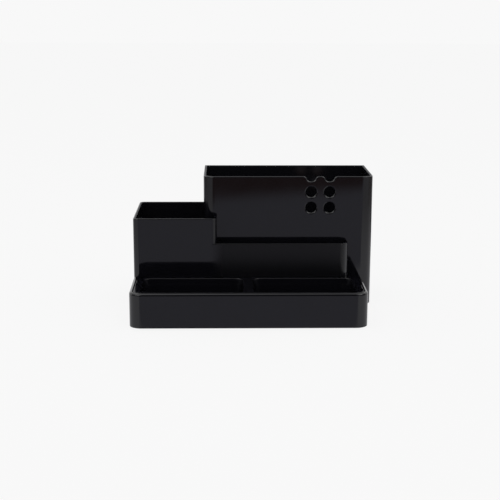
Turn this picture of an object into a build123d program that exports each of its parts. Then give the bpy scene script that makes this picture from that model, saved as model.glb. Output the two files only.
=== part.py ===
"""Desk pen holder: a low tray with two pockets, a pen cup, a slot fence and a tall rear box.

Millimetres, +Z up, front towards -Y. The origin is the middle of the footprint, on the desk.
"""

import os
from math import sqrt

from build123d import *

os.makedirs("parts", exist_ok=True)

# Front tray
tray_width = 180.0
tray_depth = 53.8  # from the tray's front to the front of the cup and the fence
deck_height = 27.4  # from the desk to the tray's top
tray_corner = 9.5
pan_wall = 2.8  # thickness of the pan's front and side walls
rim_round = 2.0  # rounding of the pan's outer top edge
rim_inner_round = 0.7
deck_thickness = 2.0
deck_edge = 0.3  # rounding of the deck's own top edge
side_margin = 8.2  # deck left between a pocket and the tray's side
back_margin = 5.5
divider_width = 7.5
pocket_corner = 6.0
pocket_wall = 1.5
pocket_draft = 10.0  # degrees by which the pockets' walls lean outwards
pocket_edge = 0.6  # rounding of the pockets' top edges

# Pen cup and slot fence
cup_width = 65.7
cup_height = 74.1
cup_corner = 4.2
fence_margin = 10.5  # from the fence's right end to the tray's right side
fence_height = 54.0
fence_corner = 6.6
slot_depth = 13.6  # from the fence's front to the rear box's front
slot_floor_height = 22.0

# Tall rear box
box_width = 134.9
box_depth = 63.6
box_height = 105.3
box_front_corner = 9.0
box_back_corner = 3.2
box_overhang = 10.1  # how far the box stands out past the tray's right side
hole_diameter = 8.5
hole_pitch_x = 14.6
hole_pitch_z = 12.5
hole_column_inset = 35.0  # from the box's right side to the nearer column of holes
hole_columns = 2
hole_rows = 2
hole_edge = 1.1  # rounding of the holes' outer edges
notch_shoulder = 2.4  # rounding between a half-round notch and the rim

# Walls, edges and clearances
wall = 2.0
floor = 2.0
lip_round = 0.8  # rounding on both sides of the open rims
seam = 0.3  # running clearance between pieces that lift apart
snug = 0.1  # clearance between pieces that are pressed together

# Dovetail tongues that join the pieces
tongue_width = 10.0
tongue_flare = 1.2
tongue_foot = 4.0  # height of a tongue's lower end above the desk
pan_tongue_inset = 28.0  # from the ends of the cup and fence front to their tongues
box_tongue_inset = 24.0  # from the ends of the fence to the box's tongues

# Feet
foot_diameter = 10.0
foot_proud = 0.8
foot_recess = 0.8
foot_inset = 13.0  # from a piece's outer sides to a foot's centre

# Places that follow from the sizes above
overall_width = tray_width + box_overhang
overall_depth = tray_depth + slot_depth + box_depth
x_left = -overall_width / 2
x_tray_right = x_left + tray_width
x_cup_right = x_left + cup_width
x_fence_right = x_tray_right - fence_margin
x_box_right = x_left + overall_width
x_box_left = x_box_right - box_width
y_front = -overall_depth / 2
y_cup = y_front + tray_depth
y_box = y_cup + slot_depth
y_back = y_box + box_depth
z_under = foot_proud
z_floor = z_under + floor
z_shelf = deck_height - deck_thickness
y_fence_back = y_box - seam
fence_length = x_fence_right - x_cup_right
foot_radius = foot_diameter / 2
hole_radius = hole_diameter / 2


def tray_plan(side_inset, back_gap, fence_gap):
    """The tray's plan: a rectangle with a tab past the fence's right end."""
    x0 = x_left + side_inset
    x1 = x_tray_right - side_inset
    y0 = y_front + side_inset
    y1 = y_cup - back_gap
    tab_x = x_fence_right + fence_gap
    tab_y = y_fence_back - back_gap
    with BuildSketch() as plan:
        with BuildLine():
            Polyline((x0, y0), (x1, y0), (x1, tab_y), (tab_x, tab_y), (tab_x, y1), (x0, y1), close=True)
        make_face()
        fillet(plan.vertices().group_by(Axis.Y)[0], tray_corner - side_inset)
        fillet(plan.vertices().sort_by_distance((tab_x, y1))[0], fence_corner + fence_gap)
    return plan.sketch


def fence_plan(left, inset, back):
    """The fence's plan between the cup and its rounded right end."""
    right = x_fence_right - inset
    front = y_cup + inset
    with BuildSketch() as plan:
        with BuildLine():
            Polyline((left, front), (right, front), (right, back), (left, back), close=True)
        make_face()
        fillet(plan.vertices().sort_by_distance((right, front))[0], fence_corner - inset)
    return plan.sketch


def box_plan(grow):
    """The rear box's plan, larger by grow all round."""
    with BuildSketch() as plan:
        with Locations(((x_box_left + x_box_right) / 2, (y_box + y_back) / 2)):
            Rectangle(box_width + 2 * grow, box_depth + 2 * grow)
        corners = plan.vertices().group_by(Axis.Y)
        fillet(corners[0], box_front_corner + grow)
        fillet(corners[-1], box_back_corner + grow)
    return plan.sketch


def dovetails(places, y_root, depth, clearance):
    """Dovetail tongues that widen from their roots towards -Y."""
    root = tongue_width / 2 + clearance
    tip = root + tongue_flare
    with BuildSketch() as tongues:
        for x in places:
            with BuildLine():
                Polyline(
                    (x - root, y_root),
                    (x + root, y_root),
                    (x + tip, y_root - depth),
                    (x - tip, y_root - depth),
                    close=True,
                )
            make_face()
    return tongues.sketch


def foot_discs(places):
    """The round outlines of the feet at these places."""
    with BuildSketch() as discs:
        with Locations(*places):
            Circle(foot_radius)
    return discs.sketch


pan_tongues = [x_left + pan_tongue_inset, x_cup_right + fence_length / 2, x_fence_right - pan_tongue_inset]
box_tongues = [x_cup_right + box_tongue_inset, x_fence_right - box_tongue_inset]

pan_feet = {
    "foot_pan_front_left": (x_left + foot_inset, y_front + foot_inset),
    "foot_pan_front_right": (x_tray_right - foot_inset, y_front + foot_inset),
    "foot_pan_back_left": (x_left + foot_inset, y_cup - foot_inset),
    "foot_pan_back_right": (x_tray_right - foot_inset, y_cup - foot_inset),
}
cup_feet = {
    "foot_cup_front": (x_left + foot_inset, y_cup + foot_inset),
    "foot_cup_back": (x_left + foot_inset, y_back - foot_inset),
}
box_feet = {
    "foot_box_front_left": (x_box_left + foot_inset, y_box + foot_inset),
    "foot_box_front_right": (x_box_right - foot_inset, y_box + foot_inset),
    "foot_box_back_left": (x_box_left + foot_inset, y_back - foot_inset),
    "foot_box_back_right": (x_box_right - foot_inset, y_back - foot_inset),
}

# Pan: floor and outer walls of the front tray, open on top
with BuildPart() as base_pan:
    with BuildSketch(Plane.XY.offset(z_under)):
        add(tray_plan(0, 0, 0))
    extrude(amount=deck_height - z_under)
    rim = base_pan.faces().sort_by(Axis.Z)[-1].edges().sort_by(Axis.Y)[0]
    fillet(rim, rim_round)
    with BuildSketch(Plane.XY.offset(z_floor)):
        add(tray_plan(pan_wall, wall, wall))
    extrude(amount=deck_height - z_floor, mode=Mode.SUBTRACT)
    # The back walls are lower, and the deck passes over them
    with BuildSketch(Plane.XY.offset(z_shelf)):
        add(tray_plan(pan_wall, 0, 0))
    extrude(amount=deck_thickness, mode=Mode.SUBTRACT)
    rim_lines = base_pan.faces().sort_by(Axis.Z)[-1].edges().filter_by(Axis.X).group_by(SortBy.LENGTH)[-1]
    fillet(rim_lines.sort_by(Axis.Y)[-1], rim_inner_round)
    with BuildSketch(Plane.XY.offset(tongue_foot - snug)):
        add(dovetails(pan_tongues, y_cup, wall, snug))
    extrude(amount=z_shelf - tongue_foot + snug, mode=Mode.SUBTRACT)
    with BuildSketch(Plane.XY.offset(z_under)):
        add(foot_discs(pan_feet.values()))
    extrude(amount=foot_recess, mode=Mode.SUBTRACT)
base_pan.part.label = "base_pan"
export_step(base_pan.part, "parts/base_pan.step")

# Insert: a flat deck flush with the pan's rim, with two pockets that stand on the pan's floor
pocket_width = (tray_width - 2 * side_margin - divider_width) / 2
pocket_front = y_front + pan_wall + seam + pocket_wall
pocket_length = y_cup - back_margin - pocket_front
pocket_y = pocket_front + pocket_length / 2
pocket_places = [
    (x_left + side_margin + pocket_width / 2, pocket_y),
    (x_tray_right - side_margin - pocket_width / 2, pocket_y),
]
with BuildPart() as tray_insert:
    with BuildSketch(Plane.XY.offset(z_shelf)):
        add(tray_plan(pan_wall + seam, seam, seam))
    extrude(amount=deck_thickness)
    fillet(tray_insert.faces().sort_by(Axis.Z)[-1].edges(), deck_edge)
    with BuildSketch(Plane.XY.offset(z_shelf)):
        with Locations(*pocket_places):
            RectangleRounded(
                pocket_width + 2 * pocket_wall,
                pocket_length + 2 * pocket_wall,
                pocket_corner + pocket_wall,
            )
    extrude(amount=z_floor - z_shelf, taper=pocket_draft)
    with BuildSketch(Plane.XY.offset(deck_height)):
        with Locations(*pocket_places):
            RectangleRounded(pocket_width, pocket_length, pocket_corner)
    extrude(amount=z_floor + pocket_wall - deck_height, taper=pocket_draft, mode=Mode.SUBTRACT)
    for hollow in tray_insert.faces().sort_by(Axis.Z)[-1].inner_wires():
        fillet(hollow.edges(), pocket_edge)
tray_insert.part.label = "tray_insert"
export_step(tray_insert.part, "parts/tray_insert.step")

# Cup and fence: one moulding, closed at the back by the rear box
cup_depth = y_back - y_cup
cup_centre = ((x_left + x_cup_right) / 2, (y_cup + y_back) / 2)
with BuildPart() as cup_and_fence:
    with BuildSketch(Plane.XY.offset(z_under)):
        with Locations(cup_centre):
            RectangleRounded(cup_width, cup_depth, cup_corner)
    extrude(amount=cup_height - z_under)
    with BuildSketch(Plane.XY.offset(z_under)):
        add(fence_plan(x_cup_right - cup_corner, 0, y_fence_back))
    extrude(amount=fence_height - z_under)
    # The inside of the cup
    with BuildSketch(Plane.XY.offset(z_floor)):
        with Locations(cup_centre):
            RectangleRounded(cup_width - 2 * wall, cup_depth - 2 * wall, cup_corner - wall)
    extrude(amount=cup_height - z_floor, mode=Mode.SUBTRACT)
    # The slot above its floor, open towards the rear box, and the hollow under that floor
    slot_length = fence_length - wall
    with BuildSketch(Plane.XY.offset(slot_floor_height)):
        add(fence_plan(x_cup_right, wall, y_fence_back))
    extrude(amount=fence_height - slot_floor_height, mode=Mode.SUBTRACT)
    with BuildSketch(Plane.XY.offset(z_under)):
        with Locations((x_cup_right + slot_length / 2, (y_cup + y_fence_back) / 2)):
            Rectangle(slot_length, y_fence_back - y_cup - 2 * wall)
    extrude(amount=slot_floor_height - floor - z_under, mode=Mode.SUBTRACT)
    fillet(cup_and_fence.faces().sort_by(Axis.Z)[-1].edges(), lip_round)
    levels = cup_and_fence.faces().filter_by(Axis.Z)
    fence_rim = levels.sort_by(lambda face: abs(face.center().Z - fence_height))[0]
    fillet(fence_rim.edges().filter_by(Axis.X).sort_by(Axis.Y)[:2], lip_round)
    # Room for the rear box, whose corner stands inside the cup
    with BuildSketch(Plane.XY.offset(z_under)):
        add(box_plan(seam))
    extrude(amount=cup_height - z_under, mode=Mode.SUBTRACT)
    with BuildSketch(Plane.XY.offset(tongue_foot - seam)):
        add(dovetails(box_tongues, y_box, seam + wall, seam))
    extrude(amount=slot_floor_height - tongue_foot + seam, mode=Mode.SUBTRACT)
    with BuildSketch(Plane.XY.offset(tongue_foot)):
        add(dovetails(pan_tongues, y_cup, wall, 0))
    extrude(amount=z_shelf - tongue_foot)
    with BuildSketch(Plane.XY.offset(z_under)):
        add(foot_discs(cup_feet.values()))
    extrude(amount=foot_recess, mode=Mode.SUBTRACT)
cup_and_fence.part.label = "cup_and_fence"
export_step(cup_and_fence.part, "parts/cup_and_fence.step")

# Rear box: tall shell with holes and half-round notches in its front wall
column_places = [x_box_right - hole_column_inset - hole_pitch_x * step for step in range(hole_columns)]
row_places = [box_height - hole_pitch_z * (step + 1) for step in range(hole_rows)]
hole_places = [(x, z) for z in row_places for x in column_places]
notch_span = sqrt(hole_radius**2 + 2 * hole_radius * notch_shoulder)
notch_share = hole_radius / (hole_radius + notch_shoulder)
with BuildPart() as rear_box:
    with BuildSketch(Plane.XY.offset(z_under)):
        add(box_plan(0))
    extrude(amount=box_height - z_under)
    with BuildSketch(Plane.XY.offset(z_floor)):
        add(box_plan(-wall))
    extrude(amount=box_height - z_floor, mode=Mode.SUBTRACT)
    # Notches: half holes at the rim, with rounded shoulders
    with BuildSketch(Plane.XZ.offset(-y_box)):
        for x in column_places:
            with BuildLine():
                left = (x - notch_span, box_height)
                right = (x + notch_span, box_height)
                low_left = (x - notch_span * notch_share, box_height - notch_shoulder * notch_share)
                low_right = (x + notch_span * notch_share, box_height - notch_shoulder * notch_share)
                first = TangentArc(left, low_left, tangent=(1, 0))
                middle = TangentArc(low_left, low_right, tangent=first % 1)
                TangentArc(low_right, right, tangent=middle % 1)
                above = box_height + hole_radius
                Polyline(right, (x + notch_span, above), (x - notch_span, above), left)
            make_face()
    extrude(amount=-wall, mode=Mode.SUBTRACT)
    # Round holes, in rows under the notches
    with BuildSketch(Plane.XZ.offset(-y_box)):
        with Locations(*hole_places):
            Circle(hole_radius)
    extrude(amount=-wall, mode=Mode.SUBTRACT)
    for hole in rear_box.faces().sort_by(Axis.Y)[0].inner_wires():
        fillet(hole.edges(), hole_edge)
    # The rounding runs along each whole rim, down into the notches and up again
    notch_low = box_height - hole_radius - lip_round
    rims = rear_box.edges().filter_by_position(Axis.Z, notch_low, box_height + lip_round)
    fillet(rims.filter_by(Axis.Y, reverse=True), lip_round)
    with BuildSketch(Plane.XY.offset(tongue_foot)):
        add(dovetails(box_tongues, y_box, seam + wall, 0))
    extrude(amount=slot_floor_height - tongue_foot)
    with BuildSketch(Plane.XY.offset(z_under)):
        add(foot_discs(box_feet.values()))
    extrude(amount=foot_recess, mode=Mode.SUBTRACT)
rear_box.part.label = "rear_box"
export_step(rear_box.part, "parts/rear_box.step")

# Feet: soft discs, each half sunk in its seat
for name, place in (pan_feet | cup_feet | box_feet).items():
    with BuildPart() as foot:
        with BuildSketch():
            add(foot_discs([place]))
        extrude(amount=foot_proud + foot_recess)
    foot.part.label = name
    export_step(foot.part, f"parts/{name}.step")
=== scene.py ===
import math

import bpy
import mathutils
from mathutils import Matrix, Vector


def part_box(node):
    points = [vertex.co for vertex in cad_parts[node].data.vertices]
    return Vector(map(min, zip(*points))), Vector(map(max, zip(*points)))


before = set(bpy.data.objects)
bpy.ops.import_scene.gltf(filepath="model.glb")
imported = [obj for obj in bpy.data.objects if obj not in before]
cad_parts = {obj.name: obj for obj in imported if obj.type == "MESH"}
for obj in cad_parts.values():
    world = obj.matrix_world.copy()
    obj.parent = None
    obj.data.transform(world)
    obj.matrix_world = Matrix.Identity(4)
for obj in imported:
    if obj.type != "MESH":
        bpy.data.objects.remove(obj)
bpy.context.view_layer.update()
print("frame loaded:", len(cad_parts), "nodes")


def toLinear(hexText):
    values = [int(hexText[i:i + 2], 16) / 255 for i in (1, 3, 5)]
    return [v / 12.92 if v <= 0.04045 else ((v + 0.055) / 1.055) ** 2.4 for v in values] + [1.0]


def mm(value):
    return value / 1000


def addNode(tree, kind, settings=None, links=None):
    # settings: attribute, input name or input number to a value, a colour as hex text
    # links: input name or number to an output socket, or to a node for its first output
    # in a Mix node, inputs 2 and 3 are numbers, inputs 6 and 7 are colours and output 2 is the colour
    node = tree.nodes.new(kind)
    for name, value in (settings or {}).items():
        if isinstance(name, int) or name in node.inputs:
            isHex = isinstance(value, str) and value.startswith("#")
            node.inputs[name].default_value = toLinear(value) if isHex else value
        else:
            setattr(node, name, value)
    for name, source in (links or {}).items():
        socket = source.outputs[0] if isinstance(source, bpy.types.Node) else source
        tree.links.new(socket, node.inputs[name])
    return node


def newMaterial(name):
    material = bpy.data.materials.new(name)
    material.use_nodes = True
    material.node_tree.nodes.clear()
    return material, material.node_tree


def finishMaterial(tree, shader):
    addNode(tree, "ShaderNodeOutputMaterial", links={"Surface": shader})


def wear(node, material):
    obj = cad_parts[node]
    obj.data.materials.clear()
    obj.data.materials.append(material)


# Black ABS from a polished steel mould: a mirror-like skin over a nearly black body. The eye gets sharp
# reflections, a slow ripple where the wall shrank, and a little handling haze.
glossAbs = {
    "colour": "#0d0d11",
    "haze": "#111116",
    "ior": 1.52,
    "shine": 0.5,
    "rough": (0.04, 0.085),
    "marks": (0.12, 0.4),  # haze times scuffs, from clean to worn
    "hazeMm": 22,
    "hazeDetail": 4,
    "hazeRoughness": 0.55,
    "scuffMm": 0.9,  # drawn coarser than real hairlines so that it shows
    "scuffDetail": 2,
    "rippleMm": 34,
    "rippleDetail": 1,
    "rippleHeightMm": 0.012,
}


def makeGlossAbs(name, satins=()):
    look = glossAbs
    material, tree = newMaterial(name)
    place = addNode(tree, "ShaderNodeTexCoord").outputs["Object"]
    haze = addNode(
        tree,
        "ShaderNodeTexNoise",
        {"Scale": 1 / mm(look["hazeMm"]), "Detail": look["hazeDetail"], "Roughness": look["hazeRoughness"]},
        {"Vector": place},
    )
    scuff, ripple = (
        addNode(tree, "ShaderNodeTexNoise", {"Scale": 1 / mm(size), "Detail": detail}, {"Vector": place})
        for size, detail in (
            (look["scuffMm"], look["scuffDetail"]),
            (look["rippleMm"], look["rippleDetail"]),
        )
    )
    marks = addNode(tree, "ShaderNodeMath", {"operation": "MULTIPLY"}, {0: haze, 1: scuff})
    (clean, worn), (smooth, dull) = look["marks"], look["rough"]
    rough = addNode(
        tree,
        "ShaderNodeMapRange",
        {"From Min": clean, "From Max": worn, "To Min": smooth, "To Max": dull},
        {"Value": marks},
    )
    colour = addNode(
        tree, "ShaderNodeMix", {"data_type": "RGBA", 6: look["colour"], 7: look["haze"]}, {0: haze}
    ).outputs[2]
    bumpSettings = {"Strength": 1.0, "Distance": mm(look["rippleHeightMm"])}
    normal = addNode(tree, "ShaderNodeBump", bumpSettings, {"Height": ripple})
    links = {}
    for satin in satins:
        mask = satinMask(tree, place, satin)
        grain = addNode(
            tree,
            "ShaderNodeTexNoise",
            {"Scale": 1 / mm(satin["grainMm"]), "Detail": satin["grainDetail"]},
            {"Vector": place},
        )
        height = addNode(tree, "ShaderNodeMath", {"operation": "MULTIPLY"}, {0: grain, 1: mask})
        normal = addNode(
            tree,
            "ShaderNodeBump",
            {"Strength": 1.0, "Distance": mm(satin["grainHeightMm"])},
            {"Height": height, "Normal": normal},
        )
        rough = addNode(tree, "ShaderNodeMix", {3: satin["rough"]}, {0: mask, 2: rough})
        colour = addNode(
            tree, "ShaderNodeMix", {"data_type": "RGBA", 7: satin["colour"]}, {0: mask, 6: colour}
        ).outputs[2]
        if "shine" in satin:
            shine = addNode(tree, "ShaderNodeMix", {2: look["shine"], 3: satin["shine"]}, {0: mask})
            links["Specular IOR Level"] = shine
    links |= {"Base Color": colour, "Roughness": rough, "Normal": normal}
    settings = {"IOR": look["ior"], "Specular IOR Level": look["shine"]}
    finishMaterial(tree, addNode(tree, "ShaderNodeBsdfPrincipled", settings, links))
    return material


def satinMask(tree, place, satin):
    # 1 within the left, right, front and back limits, soft at the left and right
    x, y = addNode(tree, "ShaderNodeSeparateXYZ", links={0: place}).outputs[:2]
    ends = ((satin["left"], -satin["softLeftMm"]), (satin["right"], satin["softRightMm"]))
    limits = [
        addNode(tree, "ShaderNodeMapRange", {"From Min": edge + mm(soft), "From Max": edge}, {"Value": x})
        for edge, soft in ends
    ]
    for operation, edge in (("GREATER_THAN", satin["front"]), ("LESS_THAN", satin["behind"])):
        limits.append(addNode(tree, "ShaderNodeMath", {"operation": operation, 1: edge}, {0: y}))
    mask = limits[0]
    for limit in limits[1:]:
        mask = addNode(tree, "ShaderNodeMath", {"operation": "MULTIPLY"}, {0: mask, 1: limit})
    return mask


# Where the walls stand. The tongues that join the mouldings reach out past the front walls.
walls = {
    "skinMm": 1.85,  # just short of a wall's thickness
    "cupWidthMm": 65.7,
    "cupTongueMm": 2.0,
    "boxTongueMm": 2.3,
    "pastCupMm": 4.35,  # from the cup's right side to full satin
    "fenceEndMm": 5.05,  # the fence's rounded right end
    "rimMm": 1.1,  # from the fence's front face to just inside its rim
}
cupLow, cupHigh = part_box("cup_and_fence")
boxLow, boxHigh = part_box("rear_box")
skin = mm(walls["skinMm"])
cupRight = cupLow.x + mm(walls["cupWidthMm"])
cupFront = cupLow.y + mm(walls["cupTongueMm"])
boxFront = boxLow.y + mm(walls["boxTongueMm"])

# The fence's front skin is satin from past the cup's edge to the start of the rounded right end, rim included
fenceSatin = {
    "left": cupRight + mm(walls["pastCupMm"]),
    "right": cupHigh.x - mm(walls["fenceEndMm"]),
    "front": cupLow.y - skin,  # clear of the foremost face
    "behind": cupFront + mm(walls["rimMm"]),
    "softLeftMm": 9.5,  # the polish fades out past the cup
    "softRightMm": 4.5,
    "colour": "#0f0f13",
    "rough": 0.28,
    "shine": 0.33,  # the grain's own pits hold back some of it
    "grainMm": 0.5,
    "grainDetail": 3,
    "grainHeightMm": 0.004,
}

# Insides come off a core that is ground, not polished: a softer black, painted slightly lighter for the light
# the insides catch
coreSideAndPaintedLight = {
    "softLeftMm": 0.3,
    "softRightMm": 0.3,
    # colour: painted light, a lighter black than the outside
    "colour": "#131317",
    "rough": 0.16,
    "grainMm": 0.5,
    "grainDetail": 3,
    "grainHeightMm": 0.002,
}
boxInside = coreSideAndPaintedLight | {
    "left": boxLow.x + skin,
    "right": boxHigh.x - skin,
    "front": boxFront + skin,
    "behind": boxHigh.y - skin,
}
cupInside = coreSideAndPaintedLight | {
    "left": cupLow.x + skin,
    "right": cupRight - skin,
    "front": cupFront + skin,
    "behind": cupHigh.y - skin,
}

# Thermoplastic rubber, die cut from sheet: matt, dark grey, with a fine pebble and dust in its low spots
footRubber = {
    "colour": "#1b1b1c",
    "dust": "#2c2b29",
    "ior": 1.5,
    "rough": 0.85,
    "pebbleMm": 0.6,
    "pebbleHeightMm": 0.05,
}


def makeFootRubber():
    look = footRubber
    material, tree = newMaterial("RubberSheetMatt")
    place = addNode(tree, "ShaderNodeTexCoord").outputs["Object"]
    pebble = addNode(tree, "ShaderNodeTexVoronoi", {"Scale": 1 / mm(look["pebbleMm"])}, {"Vector": place})
    colour = addNode(
        tree, "ShaderNodeMix", {"data_type": "RGBA", 6: look["dust"], 7: look["colour"]}, {0: pebble}
    ).outputs[2]
    bump = addNode(tree, "ShaderNodeBump", {"Distance": mm(look["pebbleHeightMm"])}, {"Height": pebble})
    shader = addNode(
        tree,
        "ShaderNodeBsdfPrincipled",
        {"IOR": look["ior"], "Roughness": look["rough"]},
        {"Base Color": colour, "Normal": bump},
    )
    finishMaterial(tree, shader)
    return material


gloss = makeGlossAbs("AbsPolishedMould")
# the cup's insides get the same painted lighter black
glossAndSatin = makeGlossAbs("AbsPolishedMouldSatinPanel", [fenceSatin, cupInside])
glossAndCore = makeGlossAbs("AbsPolishedMouldGroundCorePaintedLight", [boxInside])
rubber = makeFootRubber()
mouldings = {
    "base_pan": gloss,
    "tray_insert": gloss,
    "cup_and_fence": glossAndSatin,
    "rear_box": glossAndCore,
}
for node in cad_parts:
    wear(node, mouldings.get(node, rubber))
print("materials:", gloss.name, glossAndSatin.name, glossAndCore.name, rubber.name)


# Studio: a white sweep and one wide overhead softbox. The gloss also shows sheets seen only in reflections:
# painted shade of the floor, darker in front, with a darker brown zone past it, an unlit room with dim side
# walls, a grey board behind, a dim lamp on each side and the softbox's cloth. The camera sees none of these.
studio = {
    "paper": "#f2f2f2",
    "floorReach": 6,
    "floorWhite": "#fcfcfc",
    "worldWhite": "#f8f8f8",
    "whiteShare": 0.9,  # how much of the paper the camera and the reflections see as plain white
    "worldFill": 0.6,
    "softboxSize": (1.6, 1.0),
    "softboxPlace": (0.0, -0.2, 1.2),
    "softboxPower": 2.8,
    "clothLeft": "#f9f9f9",  # brighter on the left, nearer its lamp
    "clothRight": "#cbcbcb",
    "clothFade": (-0.2, 0.25),
    "lampSize": 0.9,
    "lampReach": (0.75, -0.62, 1.15),  # sideways, forward and up from the holder
    "lampGlow": 2.6,
}
# Painted shade of the floor for the gloss only: grey fading darker with distance, darker in the middle in
# front, at the ends and behind, then a darker brown far off in front
paintedFloorShade = {
    "area": (-1.2, 1.2, -2.5, 1.2),
    "lift": 0.0005,
    "sideNear": "#d7d7da",
    "sideFar": "#adabad",
    "sideFade": (0.15, 0.6),  # distance from the holder's middle
    "ends": "#756e69",
    "endsStart": (0.46, 0.64),  # left and right ends, past the holder only
    "endsBehind": (-0.30, 0.06),
    "back": "#5c5b5e",
    "backStart": (0.09, 0.27),  # a darker stretch behind the holder
    "backEnd": (0.37, 0.29),
    "middle": "#a09fa9",
    "middleX": -0.005,
    "middleHalf": 0.0515,  # half the darker middle's width, on the line y = 0
    "middleSpread": 0.39,  # how fast it widens towards the room
    "middleEdge": (1.12, 0.97),  # as shares of its half width
    "paintedFrontShade": "#5e463d",
    "farShadeStart": (-0.455, -0.58),
    "farShadeSlant": 0.38,
}


def seenWhite(tree):
    # 1 for the rays that show the background: straight, mirrored or through something clear
    path = addNode(tree, "ShaderNodeLightPath").outputs
    first = addNode(
        tree, "ShaderNodeMath", {"operation": "ADD"}, {0: path["Is Camera Ray"], 1: path["Is Glossy Ray"]}
    )
    return addNode(
        tree,
        "ShaderNodeMath",
        {"operation": "ADD", "use_clamp": True},
        {0: first, 1: path["Is Transmission Ray"]},
    )


def makeSheet(name, corners, material):
    mesh = bpy.data.meshes.new(name)
    mesh.from_pydata(corners, [], [(0, 1, 2, 3)])
    mesh.materials.append(material)
    obj = bpy.data.objects.new(name, mesh)
    bpy.context.scene.collection.objects.link(obj)
    return obj


def level(x0, x1, y0, y1, z):
    return [(x0, y0, z), (x1, y0, z), (x1, y1, z), (x0, y1, z)]


def upright(start, end, z0, z1):
    return [(*start, z0), (*end, z0), (*end, z1), (*start, z1)]


def onlyInReflections(obj):
    obj.visible_camera = False
    obj.visible_diffuse = False
    obj.visible_transmission = False
    obj.visible_shadow = False


def makeGlow(name, colour, strength=1.0):
    material, tree = newMaterial(name)
    finishMaterial(tree, addNode(tree, "ShaderNodeEmission", {"Color": colour, "Strength": strength}))
    return material


# White paper: matt and lit, so it keeps the holder's shadow, with most of its shade seen as plain white
def makePaperSweep():
    material, tree = newMaterial("PaperSweep")
    lit = addNode(tree, "ShaderNodeBsdfDiffuse", {"Color": studio["paper"]})
    glow = addNode(tree, "ShaderNodeEmission", {"Color": studio["floorWhite"], "Strength": 1.0})
    share = addNode(
        tree, "ShaderNodeMath", {"operation": "MULTIPLY", 1: studio["whiteShare"]}, {0: seenWhite(tree)}
    )
    finishMaterial(tree, addNode(tree, "ShaderNodeMixShader", links={0: share, 1: lit, 2: glow}))
    return material


# Painted shade of the floor, as the gloss mirrors it: soft fades of grey, then brown
def makePaintedFloorShade():
    material, tree = newMaterial("PaintedFloorShadeInGloss")
    place = addNode(tree, "ShaderNodeTexCoord").outputs["Object"]
    x, y = addNode(tree, "ShaderNodeSeparateXYZ", links={0: place}).outputs[:2]
    reach = addNode(tree, "ShaderNodeVectorMath", {"operation": "LENGTH"}, {0: place}).outputs["Value"]
    outward = addNode(tree, "ShaderNodeMath", {"operation": "ABSOLUTE"}, {0: x})
    offset = addNode(tree, "ShaderNodeMath", {"operation": "SUBTRACT", 1: paintedFloorShade["middleX"]}, {0: x})
    across = addNode(tree, "ShaderNodeMath", {"operation": "ABSOLUTE"}, {0: offset})
    width = addNode(
        tree,
        "ShaderNodeMath",
        {"operation": "MULTIPLY_ADD", 1: -paintedFloorShade["middleSpread"], 2: paintedFloorShade["middleHalf"]},
        {0: y},
    )
    share = addNode(tree, "ShaderNodeMath", {"operation": "DIVIDE"}, {0: across, 1: width})
    slanted = addNode(
        tree, "ShaderNodeMath", {"operation": "MULTIPLY_ADD", 1: paintedFloorShade["farShadeSlant"]}, {0: x, 2: y}
    )
    sources = {
        "sideFade": reach,
        "endsStart": outward,
        "endsBehind": y,
        "backStart": y,
        "backEnd": y,
        "middleEdge": share,
        "farShadeStart": slanted,
    }
    fade = {}
    for name, source in sources.items():
        begin, end = paintedFloorShade[name]
        settings = {"interpolation_type": "SMOOTHSTEP", "From Min": begin, "From Max": end}
        fade[name] = addNode(tree, "ShaderNodeMapRange", settings, {"Value": source})
    inFront = addNode(tree, "ShaderNodeMath", {"operation": "LESS_THAN", 1: 0.0}, {0: y})
    pastEnds, behind, inMiddle = (
        addNode(tree, "ShaderNodeMath", {"operation": "MULTIPLY"}, {0: first, 1: second})
        for first, second in (
            (fade["endsStart"], fade["endsBehind"]),
            (fade["backStart"], fade["backEnd"]),
            (fade["middleEdge"], inFront),
        )
    )
    paintedFrontShade = addNode(
        tree,
        "ShaderNodeMix",
        {"data_type": "RGBA", 6: paintedFloorShade["middle"], 7: paintedFloorShade["paintedFrontShade"]},
        {0: fade["farShadeStart"]},
    ).outputs[2]
    shade = addNode(
        tree,
        "ShaderNodeMix",
        {"data_type": "RGBA", 6: paintedFloorShade["sideNear"], 7: paintedFloorShade["sideFar"]},
        {0: fade["sideFade"]},
    ).outputs[2]
    for mask, colour in ((pastEnds, paintedFloorShade["ends"]), (behind, paintedFloorShade["back"])):
        shade = addNode(
            tree, "ShaderNodeMix", {"data_type": "RGBA", 7: colour}, {0: mask, 6: shade}
        ).outputs[2]
    shade = addNode(
        tree, "ShaderNodeMix", {"data_type": "RGBA"}, {0: inMiddle, 6: shade, 7: paintedFrontShade}
    ).outputs[2]
    finishMaterial(tree, addNode(tree, "ShaderNodeEmission", {"Strength": 1.0}, {"Color": shade}))
    return material


# Woven white diffuser cloth, lit from inside: an even glow that falls off to the right
def makeSoftboxCloth():
    material, tree = newMaterial("SoftboxCloth")
    place = addNode(tree, "ShaderNodeTexCoord").outputs["Object"]
    x = addNode(tree, "ShaderNodeSeparateXYZ", links={0: place}).outputs[0]
    begin, end = studio["clothFade"]
    settings = {"interpolation_type": "SMOOTHSTEP", "From Min": begin, "From Max": end}
    share = addNode(tree, "ShaderNodeMapRange", settings, {"Value": x})
    shade = addNode(
        tree,
        "ShaderNodeMix",
        {"data_type": "RGBA", 6: studio["clothLeft"], 7: studio["clothRight"]},
        {0: share},
    ).outputs[2]
    finishMaterial(tree, addNode(tree, "ShaderNodeEmission", {"Strength": 1.0}, {"Color": shade}))
    return material


floor = studio["floorReach"]
makeSheet("paperFloor", level(-floor, floor, -floor, floor, 0), makePaperSweep())
# A sheet seen only in reflections, painted with the floor's shade
onlyInReflections(makeSheet("paintedFloorShadeSheet", level(*paintedFloorShade["area"], paintedFloorShade["lift"]), makePaintedFloorShade()))

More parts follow.
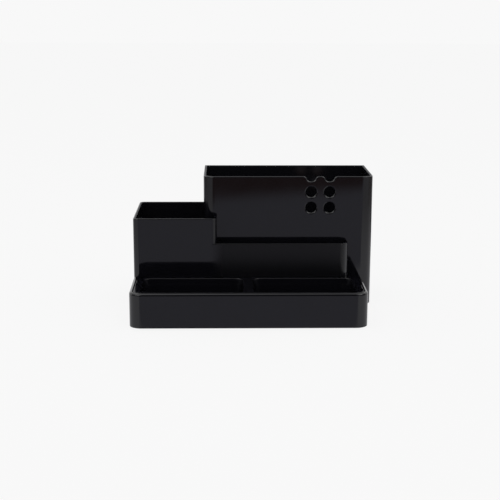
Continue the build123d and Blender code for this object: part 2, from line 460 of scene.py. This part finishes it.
clothX, clothY, clothZ = studio["softboxPlace"]
halfX, halfY = (side / 2 for side in studio["softboxSize"])
clothCorners = level(clothX - halfX, clothX + halfX, clothY - halfY, clothY + halfY, clothZ)
onlyInReflections(makeSheet("softboxCloth", clothCorners, makeSoftboxCloth()))

# Upright panels seen only in the gloss, painted reflections of the room's shade and of a grey board: floor
# points from and to, low and high edge, colour
panels = {
    "darkRoom": ((-2.0, -1.5), (2.0, -1.5), 0.05, 2.85, "#0a0a0a"),
    "dimLeft": ((-2.0, -1.5), (-2.0, 0.3), 0.05, 1.3, "#58585c"),
    "dimRight": ((2.0, -1.5), (2.0, 0.3), 0.05, 1.3, "#58585c"),
    "greyBoard": ((-0.22, 1.2), (0.32, 1.2), 0.1, 2.5, "#929294"),
}
for name, (begin, end, low, high, colour) in panels.items():
    onlyInReflections(makeSheet(name, upright(begin, end, low, high), makeGlow(name, colour)))

half = studio["lampSize"] / 2
lampSkin = makeGlow("LampFaceDim", "#ffffff", studio["lampGlow"])
for side, name in ((-1, "leftLampFace"), (1, "rightLampFace")):
    face = makeSheet(name, level(-half, half, -half, half, 0), lampSkin)
    face.location = mathutils.Vector(studio["lampReach"]) * mathutils.Vector((side, 1, 1))
    face.rotation_euler = face.location.to_track_quat("Z", "Y").to_euler()
    onlyInReflections(face)

world = bpy.data.worlds.new("studioWorld")
bpy.context.scene.world = world
world.use_nodes = True
tree = world.node_tree
tree.nodes.clear()
fill = addNode(tree, "ShaderNodeBackground", {"Color": "#ffffff", "Strength": studio["worldFill"]})
white = addNode(tree, "ShaderNodeBackground", {"Color": studio["worldWhite"], "Strength": 1.0})
mixed = addNode(tree, "ShaderNodeMixShader", links={0: seenWhite(tree), 1: fill, 2: white})
addNode(tree, "ShaderNodeOutputWorld", links={"Surface": mixed})

lamp = bpy.data.lights.new("softbox", "AREA")
lamp.shape = "RECTANGLE"
lamp.size, lamp.size_y = studio["softboxSize"]
lamp.energy = studio["softboxPower"]
softbox = bpy.data.objects.new("softbox", lamp)
softbox.location = studio["softboxPlace"]
softbox.visible_glossy = False  # its cloth stands for it there
bpy.context.scene.collection.objects.link(softbox)
print("studio ready")


# Fitted to edges and centres measured in the photograph; place in millimetres, turns in degrees
camera = {
    "place": (-22.99, -867.62, 239.12),
    "turnRight": 1.3216,
    "tiltDown": 12.5197,
    "roll": 0.2007,
    "lens": 80.146,
    "sensor": 36,
}
lens = bpy.data.cameras.new("camera")
lens.lens = camera["lens"]
lens.sensor_width = camera["sensor"]
viewer = bpy.data.objects.new("camera", lens)
viewer.location = [mm(v) for v in camera["place"]]
tilt, turn, roll = (math.radians(camera[name]) for name in ("tiltDown", "turnRight", "roll"))
aim = mathutils.Euler((math.pi / 2 - tilt, 0, -turn)).to_matrix()
viewer.rotation_euler = (aim @ mathutils.Matrix.Rotation(roll, 3, "Z")).to_euler()
bpy.context.scene.collection.objects.link(viewer)
bpy.context.scene.camera = viewer
bpy.context.scene.view_settings.view_transform = "Standard"
print("camera set")
